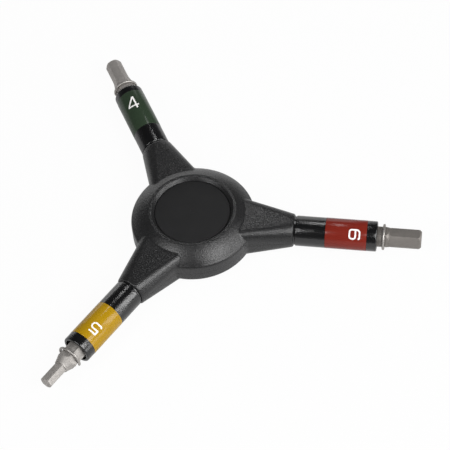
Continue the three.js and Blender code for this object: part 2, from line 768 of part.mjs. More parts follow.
/** An open snap ring of round wire, in the groove of its bit, with its opening underneath. */
function snapRing(arm) {
  const { ring } = bitStations(arm);
  const opening = THREE.MathUtils.degToRad(ringOpeningDegrees) * ringOpenEndShare;
  const start = -Math.PI / 2 + opening;
  const sweep = 2 * Math.PI - 2 * opening;
  const corners = [];
  const faces = [];
  for (let s = 0; s <= wireSteps; s += 1) {
    const round = start + (sweep * s) / wireSteps;
    for (let k = 0; k < wireSides; k += 1) {
      const side = (k * 2 * Math.PI) / wireSides;
      const radius = ringMeanRadius + ringWireRadius * Math.cos(side);
      const along = ring + ringWireRadius * Math.sin(side);
      corners.push(along, radius * Math.cos(round), radius * Math.sin(round));
    }
  }
  for (let s = 0; s < wireSteps; s += 1) {
    for (let k = 0; k < wireSides; k += 1) {
      const near = s * wireSides + k;
      const nearNext = s * wireSides + ((k + 1) % wireSides);
      const far = near + wireSides;
      faces.push(near, far, nearNext, nearNext, far, nearNext + wireSides);
    }
  }
  const last = wireSteps * wireSides;
  for (let k = 1; k + 1 < wireSides; k += 1) {
    faces.push(0, k, k + 1, last, last + k + 1, last + k);
  }
  const geometry = new THREE.BufferGeometry();
  geometry.setAttribute('position', new THREE.Float32BufferAttribute(corners, 3));
  geometry.setIndex(faces);
  return closedGeometry(geometry);
}

// Finishes

const finish = (color, roughness, metalness) => {
  return new THREE.MeshStandardMaterial({ color, roughness, metalness });
};
const hubPlastic = () => finish(0x2b2b2d, 0.6, 0);
const capPlastic = () => finish(0x262627, 0.7, 0);
const coatedSteel = () => finish(0x161617, 0.35, 0.3);
const bareSteel = () => finish(0x9a9691, 0.38, 1);
const springSteel = () => finish(0xa7a29d, 0.3, 1);
const magnetPlating = () => finish(0xb8b8bc, 0.25, 1);
const screwSteel = () => finish(0x3a3a3d, 0.4, 1);
const bandFilm = (colour) => finish(colour, 0.28, 0);

// Assembly

const wrench = new THREE.Group();

/** Adds a named mesh to a group. */
function place(group, name, geometry, material) {
  const mesh = new THREE.Mesh(geometry, material);
  mesh.name = name;
  group.add(mesh);
  return mesh;
}

const blank = shellBlank();
place(wrench, 'hub_shell_upper', geometryFrom(upperShell(blank)), hubPlastic());
place(wrench, 'hub_shell_lower', geometryFrom(lowerShell(blank)), hubPlastic());
place(wrench, 'centre_cap_upper', geometryFrom(cap()), capPlastic());
place(wrench, 'centre_cap_lower', geometryFrom(mirrored(cap())), capPlastic());

betweenTurns.forEach((turn, index) => {
  const screw = place(
    wrench, `closing_screw_${index + 1}`, geometryFrom(closingScrew()), screwSteel(),
  );
  screw.position.set(bossCircle * Math.cos(turn), bossCircle * Math.sin(turn), 0);
});

arms.forEach((arm, index) => {
  const group = new THREE.Group();
  group.rotation.z = armTurns[index];
  wrench.add(group);
  place(group, `holder_tube_${arm.label}`, geometryFrom(holder(arm)), coatedSteel());
  place(group, `socket_magnet_${arm.label}`, closedGeometry(magnet()), magnetPlating());
  place(group, `size_band_${arm.label}`, closedGeometry(band(arm)), bandFilm(arm.bandColour));
  place(group, arm.bit, geometryFrom(hexBit(arm)), bareSteel());
  place(group, arm.ring, snapRing(arm), springSteel());
});

export default wrench;
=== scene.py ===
"""Studio picture of a three-way hex wrench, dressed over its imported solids.

Every length is in metres in the frame of the solids: the origin is where the three arm axes
meet, halfway up the hub, the first arm points along +X, and +Z is up. Each arm's pieces are
modelled along +X and then turned to their place.
"""

from __future__ import annotations

import logging
import math
from contextlib import contextmanager
from dataclasses import dataclass
from enum import Enum
from typing import Callable, Iterator, Sequence

import bmesh
import bpy
from mathutils import Matrix, Vector

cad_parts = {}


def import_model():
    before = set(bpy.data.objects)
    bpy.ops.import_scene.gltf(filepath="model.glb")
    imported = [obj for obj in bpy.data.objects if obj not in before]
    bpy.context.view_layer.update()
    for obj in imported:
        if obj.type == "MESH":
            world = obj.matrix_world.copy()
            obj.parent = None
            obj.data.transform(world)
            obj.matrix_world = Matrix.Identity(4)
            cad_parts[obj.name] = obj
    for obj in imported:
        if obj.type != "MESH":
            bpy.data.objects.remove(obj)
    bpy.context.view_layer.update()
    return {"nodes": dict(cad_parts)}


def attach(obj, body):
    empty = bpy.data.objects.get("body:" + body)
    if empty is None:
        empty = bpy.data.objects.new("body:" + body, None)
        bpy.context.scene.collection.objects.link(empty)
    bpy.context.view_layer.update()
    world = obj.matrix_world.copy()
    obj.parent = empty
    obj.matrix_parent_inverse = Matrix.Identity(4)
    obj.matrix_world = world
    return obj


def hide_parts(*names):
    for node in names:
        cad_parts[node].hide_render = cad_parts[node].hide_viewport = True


LOG = logging.getLogger("wrench")
MM = 0.001
CLOSE = 0.0002 * MM
OVERRUN = 1 * MM
HEX_SIDES = 6
CORNER_OF_FLAT = 1 / math.cos(math.pi / HEX_SIDES)
BEVEL_STEPS = 2
HOLDER_MOUTH = 60.9 * MM
CLOSING_SCREWS = ("closing_screw_1", "closing_screw_2", "closing_screw_3")

Point2 = tuple[float, float]
Point3 = tuple[float, float, float]
Corner = tuple[float, float, float]
Colour = tuple[float, float, float]
Piece = bpy.types.Object
Material = bpy.types.Material
Socket = bpy.types.NodeSocket


# Working by hand: selecting, drawing, turning, combining


class Combine(Enum):
    """How a second solid changes the first one."""

    ADD = "UNION"
    CUT = "DIFFERENCE"
    KEEP = "INTERSECT"


class Axis(Enum):
    """The axis through the origin that a profile is spun round."""

    HUB = (0, 0, 1)
    ARM = (1, 0, 0)


class Pick(Enum):
    """What is picked in edit mode."""

    CORNERS = "VERT"
    EDGES = "EDGE"


def mix(first: float, last: float, share: float) -> float:
    """The value at a share of the way from the first to the last."""
    return first + (last - first) * share


def bow(height: float, share: float) -> float:
    """Height of a shallow bow at a share of its length."""
    return 4 * height * share * (1 - share)


def take(piece: Piece) -> Piece:
    """Leaves only this piece selected and active.

    Args:
        piece: The object to work on.

    Returns:
        The same object.
    """
    bpy.ops.object.select_all(action="DESELECT")
    piece.select_set(True)
    bpy.context.view_layer.objects.active = piece
    return piece


def named(piece: Piece, name: str) -> Piece:
    """Names a piece and its mesh."""
    piece.name = piece.data.name = name
    return piece


def started(name: str, primitive: Callable[..., object], **settings: object) -> Piece:
    """Adds a primitive with nothing else selected.

    Args:
        name: The new object's name.
        primitive: The operator that adds it.
        **settings: The operator's settings.

    Returns:
        The new object.
    """
    bpy.ops.object.select_all(action="DESELECT")
    primitive(**settings)
    return named(bpy.context.object, name)


@contextmanager
def editing(piece: Piece, pick: Pick = Pick.CORNERS) -> Iterator[None]:
    """Edit mode for one piece, entered with all of its mesh selected.

    Args:
        piece: The object to shape.
        pick: What is picked there.

    Yields:
        Nothing. The piece is in edit mode until the block ends.
    """
    take(piece)
    bpy.ops.object.mode_set(mode="EDIT")
    bpy.ops.mesh.select_mode(type=pick.value)
    bpy.ops.mesh.select_all(action="SELECT")
    yield
    bpy.ops.object.mode_set(mode="OBJECT")


def settle(piece: Piece) -> Piece:
    """Puts a piece's place, turn and scale into its mesh."""
    take(piece)
    bpy.ops.object.transform_apply(location=True, rotation=True, scale=True)
    return piece


def discard(piece: Piece) -> None:
    """Removes a helper object together with its mesh."""
    mesh = piece.data
    bpy.data.objects.remove(piece, do_unlink=True)
    bpy.data.meshes.remove(mesh)


def joined(name: str, pieces: Sequence[Piece]) -> Piece:
    """Makes several pieces one object.

    Args:
        name: Its name.
        pieces: The pieces, of which the first one stays.

    Returns:
        The first piece, with all the others in it.
    """
    take(pieces[0])
    for piece in pieces:
        piece.select_set(True)
    bpy.ops.object.join()
    return named(pieces[0], name)


def applied(piece: Piece, modifier: bpy.types.Modifier) -> Piece:
    """Puts what a modifier does into the piece's mesh."""
    take(piece)
    bpy.ops.object.modifier_apply(modifier=modifier.name)
    return piece


def close_skin() -> None:
    """Merges doubled corners of the mesh in edit mode and turns its faces outwards."""
    bpy.ops.mesh.select_all(action="SELECT")
    bpy.ops.mesh.remove_doubles(threshold=CLOSE)
    bpy.ops.mesh.normals_make_consistent(inside=False)


def pick_edges(piece: Piece, wanted: Callable[[bmesh.types.BMEdge], bool]) -> None:
    """Selects some edges of a piece in edit mode.

    Args:
        piece: The object in edit mode.
        wanted: A test that says whether an edge is selected.
    """
    bpy.ops.mesh.select_all(action="DESELECT")
    sheet = bmesh.from_edit_mesh(piece.data)
    for edge in sheet.edges:
        edge.select = wanted(edge)
    bmesh.update_edit_mesh(piece.data)


def draw_line(name: str, points: Sequence[Point3]) -> Piece:
    """Draws a row of points by extruding one vertex from place to place.

    Args:
        name: The object's name.
        points: The places in order.

    Returns:
        An object with one edge between each two neighbours.
    """
    line = started(name, bpy.ops.mesh.primitive_plane_add, size=MM)
    with editing(line):
        bpy.ops.mesh.merge(type="CENTER")
        bpy.ops.transform.translate(value=points[0])
        for before, after in zip(points, points[1:]):
            step = Vector(after) - Vector(before)
            bpy.ops.mesh.extrude_region_move(TRANSFORM_OT_translate={"value": step})
    return line


def bridged(name: str, rings: Sequence[Sequence[Point3]]) -> Piece:
    """Bridges a row of rings, one to the next, and closes both ends.

    Args:
        name: The object's name.
        rings: Rings with the same number of points, in order.

    Returns:
        The closed body.
    """
    count = len(rings[0])
    add = bpy.ops.mesh.primitive_circle_add
    circles = []
    for index, ring in enumerate(rings):
        circle = started(f"ring_{index}", add, vertices=count, fill_type="NOTHING")
        for vertex, place in zip(circle.data.vertices, ring):
            vertex.co = place
        circles.append(settle(circle))
    body = joined(name, circles)

    def pick_rings(*wanted: int) -> None:
        """Selects the edges that run round some of the rings, given by number."""

        def runs_round(edge: bmesh.types.BMEdge) -> bool:
            """Tells whether both ends of an edge lie on the same wanted ring."""
            first, second = (vertex.index // count for vertex in edge.verts)
            return first == second and first in wanted

        pick_edges(body, runs_round)

    last = len(rings) - 1
    with editing(body, Pick.EDGES):
        for index in range(last):
            pick_rings(index, index + 1)
            bpy.ops.mesh.bridge_edge_loops()
        for index in (0, last):
            pick_rings(index)
            bpy.ops.mesh.edge_face_add()
        close_skin()
    return body


def break_long_edges(bar: Piece, width: float) -> Piece:
    """Bevels the edges that run along an arm.

    Args:
        bar: The bar, along +X.
        width: Width of the bevel.

    Returns:
        The bar.
    """

    def runs_along(edge: bmesh.types.BMEdge) -> bool:
        """Tells whether an edge runs along +X more than across it."""
        along = edge.verts[1].co - edge.verts[0].co
        return abs(along.x) > abs(along.y) + abs(along.z)

    with editing(bar, Pick.EDGES):
        pick_edges(bar, runs_along)
        bpy.ops.mesh.bevel(offset=width, segments=BEVEL_STEPS, affect="EDGES")
    return bar


def spin(steps: int, angle: float, axis: Axis) -> None:
    """Spins the whole mesh in edit mode about an axis and closes its skin."""
    bpy.ops.mesh.spin(steps=steps, angle=angle, center=(0, 0, 0), axis=axis.value)
    close_skin()


def turned(name: str, profile: Sequence[Point2], steps: int, axis: Axis) -> Piece:
    """Spins a profile all the way round an axis.

    Args:
        name: The object's name.
        profile: Points as (radius, distance along the axis).
        steps: Number of facets round the axis.
        axis: The hub's axis or an arm's.

    Returns:
        The spun skin, closed where the profile starts and ends on the axis or in itself.
    """
    points = [(r, 0.0, d) if axis is Axis.HUB else (d, r, 0.0) for r, d in profile]
    piece = draw_line(name, points)
    with editing(piece):
        spin(steps, 2 * math.pi, axis)
    return piece


def combined(piece: Piece, other: Piece, how: Combine) -> Piece:
    """Applies a boolean with a second solid, which is used up.

    Args:
        piece: The solid that stays.
        other: The solid that is added, cut away or kept to.
        how: What happens to the first solid.

    Returns:
        The first object.
    """
    modifier = piece.modifiers.new("combine", "BOOLEAN")
    modifier.operation = how.value
    modifier.solver = "EXACT"
    modifier.object = other
    applied(piece, modifier)
    discard(other)
    return piece


def copied(piece: Piece, name: str) -> Piece:
    """Copies a piece.

    Args:
        piece: The piece.
        name: The copy's name.

    Returns:
        The copy, with a mesh of its own.
    """
    twin = piece.copy()
    twin.data = piece.data.copy()
    bpy.context.scene.collection.objects.link(twin)
    return named(twin, name)


def mirrored(piece: Piece, name: str) -> Piece:
    """Copies a piece to the other side of the middle plane.

    Args:
        piece: The piece.
        name: The copy's name.

    Returns:
        The mirror copy, its faces outwards.
    """
    twin = copied(piece, name)
    twin.scale = (1, 1, -1)
    with editing(settle(twin)):
        close_skin()
    return twin


def turned_to(piece: Piece, angle: float) -> Piece:
    """Turns a piece about the hub's axis and settles it there."""
    piece.rotation_euler = (0, 0, angle)
    return settle(piece)


def softened(piece: Piece, degrees: float = 32) -> Piece:
    """Shades a piece smooth except over its sharper edges."""
    take(piece)
    bpy.ops.object.shade_smooth_by_angle(angle=math.radians(degrees))
    return piece


def hexagon(at: float, across_flats: float, turn: float) -> list[Point3]:
    """A hexagon square to an arm.

    Args:
        at: Where it lies along +X.
        across_flats: Width over two flats.
        turn: Angle of one corner from the sideways axis towards +Z, in radians.

    Returns:
        Its six corners.
    """
    corner = across_flats / 2 * CORNER_OF_FLAT
    angles = [turn + 2 * math.pi / HEX_SIDES * k for k in range(HEX_SIDES)]
    return [(at, corner * math.cos(angle), corner * math.sin(angle)) for angle in angles]


def hex_bar(
    name: str, across_flats: float, start: float, stop: float, turn: float, edge: float
) -> Piece:
    """A hexagonal bar along +X with slightly broken long edges.

    Args:
        name: The object's name.
        across_flats: Width over two flats.
        start: Where it starts along +X.
        stop: Where it ends.
        turn: Angle of one corner from the sideways axis towards +Z, in radians.
        edge: Width of the bevel on its long edges.

    Returns:
        The bar.
    """
    bar = started(
        name,
        bpy.ops.mesh.primitive_cylinder_add,
        vertices=HEX_SIDES,
        radius=across_flats / 2 * CORNER_OF_FLAT,
        depth=stop - start,
        location=((start + stop) / 2, 0, 0),
        rotation=(0, math.pi / 2, 0),
    )
    settle(bar).rotation_euler = (turn, 0, 0)
    return break_long_edges(settle(bar), edge)


def arc(
    centre: Point2, radius: float, start: float, stop: float, steps: int
) -> list[Point2]:
    """Draws an arc.

    Args:
        centre: Its centre.
        radius: Its radius.
        start: Angle of its first point from the first axis, in radians.
        stop: Angle of its last point.
        steps: Number of facets.

    Returns:
        Its points, both ends included.
    """
    angles = [start + (stop - start) * k / steps for k in range(steps + 1)]
    x, y = centre
    return [(x + radius * math.cos(angle), y + radius * math.sin(angle)) for angle in angles]


def rounded(corners: Sequence[Corner], steps: int) -> list[Point2]:
    """Rounds the corners of an open profile.

    Args:
        corners: Points as (first, second, rounding radius); 0 keeps a corner sharp.
        steps: Facets of each rounding.

    Returns:
        The points of the rounded profile.
    """
    points: list[Point2] = []
    for k, (x, y, radius) in enumerate(corners):
        if radius == 0 or k in (0, len(corners) - 1):
            points.append((x, y))
            continue
        here = Vector((x, y))
        back = (Vector(corners[k - 1][:2]) - here).normalized()
        on = (Vector(corners[k + 1][:2]) - here).normalized()
        half = back.angle(on) / 2
        reach = radius / math.tan(half)
        middle = here + (back + on).normalized() * (radius / math.sin(half))
        first = here + back * reach - middle
        turn = first.angle_signed(here + on * reach - middle)
        for s in range(steps + 1):
            spoke = first.copy()
            spoke.rotate(Matrix.Rotation(-turn * s / steps, 2))
            points.append((middle.x + spoke.x, middle.y + spoke.y))
    return points


# Finishes


@dataclass(frozen=True)
class Clouds:
    """A cloudy pattern: size of a cloud, octaves of finer ones, and stretch along +X."""

    size: float
    detail: float = 3
    stretch: float = 1.0


class NodeSheet:
    """The node tree of one material or world, with short ways to fill it."""

    PATTERN_MIDDLE = {"From Min": 0.3, "From Max": 0.7}

    def __init__(self, owner: Material | bpy.types.World) -> None:
        """Empties the owner's tree.

        Args:
            owner: The material or world whose nodes are drawn.
        """
        owner.use_nodes = True
        self.tree = owner.node_tree
        self.tree.nodes.clear()

    def add(
        self,
        kind: str,
        inputs: dict[str | int, object],
        out: str | int = 0,
        **settings: object,
    ) -> Socket:
        """Adds a node.

        Args:
            kind: The node's type name after ShaderNode.
            inputs: A value, or the socket that leads there, for each input that is used.
            out: The output that is wanted.
            **settings: The node's properties.

        Returns:
            The output socket.
        """
        node = self.tree.nodes.new(f"ShaderNode{kind}")
        for key, value in settings.items():
            setattr(node, key, value)
        for key, value in inputs.items():
            if isinstance(value, Socket):
                self.tree.links.new(value, node.inputs[key])
            else:
                node.inputs[key].default_value = value
        return node.outputs[out]

    def end(self, kind: str, shader: Socket) -> None:
        """Leads a shader to the tree's output, Material or World."""
        node = self.tree.nodes.new(f"ShaderNodeOutput{kind}")
        self.tree.links.new(shader, node.inputs["Surface"])

    def worked_out(self, operation: str, first: Socket, second: Socket | float) -> Socket:
        """One operation of the Math node on two values."""
        return self.add("Math", {0: first, 1: second}, operation=operation)

    def clouds(self, pattern: Clouds, turn: float = 0.0) -> Socket:
        """Draws a cloudy pattern in object coordinates.

        Args:
            pattern: The pattern.
            turn: Its turn about the hub's axis, in radians.

        Returns:
            The value socket, from 0 to 1.
        """
        where = self.add("TexCoord", {}, "Object")
        settings = {"Rotation": (0, 0, turn), "Scale": (pattern.stretch, 1, 1)}
        place = self.add("Mapping", {"Vector": where, **settings}, vector_type="TEXTURE")
        settings = {"Scale": 1 / pattern.size, "Detail": pattern.detail}
        return self.add("TexNoise", {"Vector": place, **settings})

    def between(self, value: Socket, low: float, high: float) -> Socket:
        """Spreads the middle of a 0 to 1 pattern over a range.

        Args:
            value: The pattern.
            low: Result at the low end of the middle.
            high: Result at its high end.

        Returns:
            The value socket.
        """
        ends = {**self.PATTERN_MIDDLE, "To Min": low, "To Max": high}
        return self.add("MapRange", {"Value": value, **ends})

    def tint(self, value: Socket, first: Colour, second: Colour) -> Socket:
        """Mixes two colours by a 0 to 1 pattern."""
        inputs = {0: value, 6: (*first, 1), 7: (*second, 1)}
        return self.add("Mix", inputs, 2, data_type="RGBA")


def shade(colour: Colour, share: float) -> Colour:
    """A colour made lighter or darker by a share."""
    return tuple(min(1.0, channel * share) for channel in colour)


@dataclass(frozen=True)
class Finish:
    """A finish whose colour follows clouds and whose relief follows a grain.

    The tints are shares of the colour in the darkest and the lightest clouds. The swing is
    how far the roughness rises with the grain, or with the clouds where clouded_gloss says
    so. The turn is that of the grain about the hub's axis. With no grain of its own, the
    relief follows the clouds.
    """

    name: str
    colour: Colour
    roughness: float
    turn: float = 0.0
    swing: float = 0.0
    clouded_gloss: bool = False
    clouds: Clouds = Clouds(1 * MM)
    tints: Point2 = (1.0, 1.0)
    grain: Clouds | None = None
    depth: float = 0.0
    strength: float = 1.0
    metallic: float = 0.0
    refraction: float = 1.5
    reflection: float = 0.5

    def material(self) -> Material:
        """Draws the finish.

        Returns:
            The new material.
        """
        made = bpy.data.materials.new(self.name)
        sheet = NodeSheet(made)
        clouds = sheet.clouds(self.clouds)
        grain = sheet.clouds(self.grain, self.turn) if self.grain else clouds
        dark, light = (shade(self.colour, share) for share in self.tints)
        shader = {
            "Base Color": sheet.tint(clouds, dark, light),
            "Roughness": self.roughness,
            "Metallic": self.metallic,
            "IOR": self.refraction,
            "Specular IOR Level": self.reflection,
        }
        if self.swing:
            pattern = clouds if self.clouded_gloss else grain
            ends = (self.roughness - self.swing, self.roughness + self.swing)
            shader["Roughness"] = sheet.between(pattern, *ends)
        if self.depth:
            relief = {"Height": grain, "Distance": self.depth, "Strength": self.strength}
            shader["Normal"] = sheet.add("Bump", relief)
        sheet.end("Material", sheet.add("BsdfPrincipled", shader))
        return made


@dataclass(frozen=True)
class GrainedPlastic(Finish):
    """Moulded black plastic with a fine spark-eroded grain that glints."""

    name: str = "grained_plastic"
    colour: Colour = (0.0135, 0.0135, 0.014)
    roughness: float = 0.3
    swing: float = -0.08
    clouds: Clouds = Clouds(9 * MM)
    tints: Point2 = (0.85, 1.2)
    grain: Clouds = Clouds(0.38 * MM)
    depth: float = 0.09 * MM
    strength: float = 0.95
    refraction: float = 1.48


@dataclass(frozen=True)
class SmoothPlastic(Finish):
    """Smooth matt black plastic with faint flow clouds."""

    name: str = "smooth_plastic"
    colour: Colour = (0.0115, 0.0115, 0.012)
    roughness: float = 0.6
    swing: float = 0.04
    clouded_gloss: bool = True
    clouds: Clouds = Clouds(5 * MM)
    tints: Point2 = (0.8, 1.25)
    grain: Clouds = Clouds(0.25 * MM, 2)
    depth: float = 0.01 * MM
    strength: float = 0.5
    refraction: float = 1.45
    reflection: float = 0.3


@dataclass(frozen=True)
class TexturedCoat(Finish):
    """Glossy black powder coat with a leathery texture."""

    name: str = "textured_coat"
    colour: Colour = (0.004, 0.004, 0.0044)
    roughness: float = 0.17
    swing: float = -0.06
    clouds: Clouds = Clouds(0.5 * MM)
    tints: Point2 = (0.7, 1.5)
    depth: float = 0.075 * MM
    strength: float = 0.85
    refraction: float = 1.65


@dataclass(frozen=True)
class GlossyFilm(Finish):
    """Coloured plastic film with a clear, slightly uneven gloss."""

    roughness: float = 0.2
    swing: float = 0.03
    clouded_gloss: bool = True
    clouds: Clouds = Clouds(3 * MM, 2)
    tints: Point2 = (0.93, 1.07)
    grain: Clouds = Clouds(0.7 * MM, 2)
    depth: float = 0.004 * MM
    strength: float = 0.5
    refraction: float = 1.45
    reflection: float = 0.3


@dataclass(frozen=True)
class SatinSteel(Finish):
    """Bare steel with a satin surface and faint lines along the arm."""

    roughness: float = 0.66
    swing: float = 0.06
    clouds: Clouds = Clouds(1.6 * MM)
    tints: Point2 = (0.88, 1.1)
    grain: Clouds = Clouds(0.12 * MM, stretch=14)
    depth: float = 0.006 * MM
    strength: float = 0.6
    metallic: float = 1.0


@dataclass(frozen=True)
class MarkingPaint(Finish):
    """White marking ink, a little uneven."""

    name: str = "marking_paint"
    colour: Colour = (0.92, 0.91, 0.89)
    roughness: float = 0.45
    clouds: Clouds = Clouds(0.5 * MM)
    tints: Point2 = (0.94, 1.05)
    refraction: float = 1.45


SPRING_WIRE = SatinSteel("spring_wire", (0.42, 0.4, 0.38), 0.48)
NICKEL_PLATE = SatinSteel("nickel_plate", (0.6, 0.6, 0.61), 0.25)
BLACKENED_STEEL = SatinSteel("blackened_steel", (0.05, 0.05, 0.055), 0.4)


def clad(piece: Piece, material: Material) -> None:
    """Gives a piece or a carried-over solid its material."""
    piece.data.materials.clear()
    piece.data.materials.append(material)
    LOG.info("%s: %d faces in %s", piece.name, len(piece.data.polygons), material.name)


def dressed(
    piece: Piece, material: Material, body: str, nodes: Sequence[str] = ()
) -> Piece:
    """Gives a finished piece its material and its body, and hides the solids that it stands for.

    Args:
        piece: The finished object.
        material: Its material.
        body: The body that carries it.
        nodes: The solids that it stands for.

    Returns:
        The same object.
    """
    clad(piece, material)
    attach(piece, body)
    if nodes:
        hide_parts(*nodes)
    return piece


# The arms


@dataclass(frozen=True)
class Arm:
    """What differs from arm to arm.

    The bit's lengths run outwards from the holder's mouth: middle of the ring, stub, cone,
    neck, driver. A flared bit widens from driver to shank with its flats kept, and each bit's
    steel is given a colour of its own, the 6 mm one set darker and browner than the others.
    A numeral's strokes are middle lines in millimetres, as (right, up, rounding).
    """

    label: str
    turn_degrees: float
    band_colour: Colour
    band_slot: str
    band_length: float
    band_inset: float
    bit: str
    socket_turn_degrees: float
    ring_stand_off: float
    stub_length: float
    cone_length: float
    neck_length: float
    neck_radius: float
    driver_length: float
    driver_across_flats: float
    tip_chamfer: float
    flared: bool
    steel: Colour
    numeral_at: float
    numeral_angle_degrees: float
    strokes: tuple[tuple[Corner, ...], ...]

    @property
    def turn(self) -> float:
        """The arm's angle about the hub's axis, in radians."""
        return math.radians(self.turn_degrees)

    @property
    def socket_turn(self) -> float:
        """The turn of the hexagon about the arm's own axis, in radians."""
        return math.radians(self.socket_turn_degrees)


ARMS = (
    Arm(
        label="6", turn_degrees=0,
        band_slot="band_red", band_colour=(0.18, 0.018, 0.011),
        band_length=13.6 * MM, band_inset=3.3 * MM,
        bit="6mm", steel=(0.27, 0.252, 0.235), flared=False, socket_turn_degrees=-1,
        ring_stand_off=2.15 * MM, stub_length=0.65 * MM, cone_length=0.95 * MM,
        neck_length=0.35 * MM, neck_radius=3.2 * MM,
        driver_length=10.4 * MM, driver_across_flats=6 * MM, tip_chamfer=0.9 * MM,
        numeral_at=53.65 * MM, numeral_angle_degrees=124.1,
        strokes=(
            (
                (1.52, 1.12, 0), (1.38, 1.65, 0.35), (-1.56, 1.65, 1.05), (-1.56, -1.65, 0.8),
                (1.47, -1.65, 0.8), (1.47, 0.28, 0.65), (-1.32, 0.28, 0),
            ),
        ),
    ),
    Arm(
        label="4", turn_degrees=120,
        band_slot="band_green", band_colour=(0.028, 0.045, 0.027),
        band_length=16.2 * MM, band_inset=2.6 * MM,
        bit="5mm", steel=(0.46, 0.437, 0.418), flared=True, socket_turn_degrees=-12,
        ring_stand_off=2.75 * MM, stub_length=1.55 * MM, cone_length=3.8 * MM,
        neck_length=0.2 * MM, neck_radius=3.05 * MM,
        driver_length=7 * MM, driver_across_flats=5 * MM, tip_chamfer=0.5 * MM,
        numeral_at=53.0 * MM, numeral_angle_degrees=77.0,
        strokes=(
            ((1.0, 2.6, 0), (1.0, -2.75, 0)),
            ((0.85, 2.45, 0), (-1.95, -1.35, 0.12), (2.0, -1.35, 0)),
        ),
    ),
    Arm(
        label="5", turn_degrees=240,
        band_slot="band_yellow", band_colour=(0.39, 0.225, 0.006),
        band_length=13.6 * MM, band_inset=3.4 * MM,
        bit="4mm", steel=(0.44, 0.42, 0.4), flared=False, socket_turn_degrees=3,
        ring_stand_off=3.1 * MM, stub_length=1 * MM, cone_length=3.4 * MM,
        neck_length=0.1 * MM, neck_radius=2.36 * MM,
        driver_length=7.4 * MM, driver_across_flats=4 * MM, tip_chamfer=0.5 * MM,
        numeral_at=52.95 * MM, numeral_angle_degrees=66.3,
        strokes=(
            (
                (1.4, 1.68, 0), (-1.25, 1.68, 0.08), (-1.3, 0.3, 0.12), (1.55, 0.45, 0.95),
                (1.55, -1.65, 0.95), (-1.3, -1.65, 0.55), (-1.55, -1.15, 0),
            ),
        ),
    ),
)


# Hub


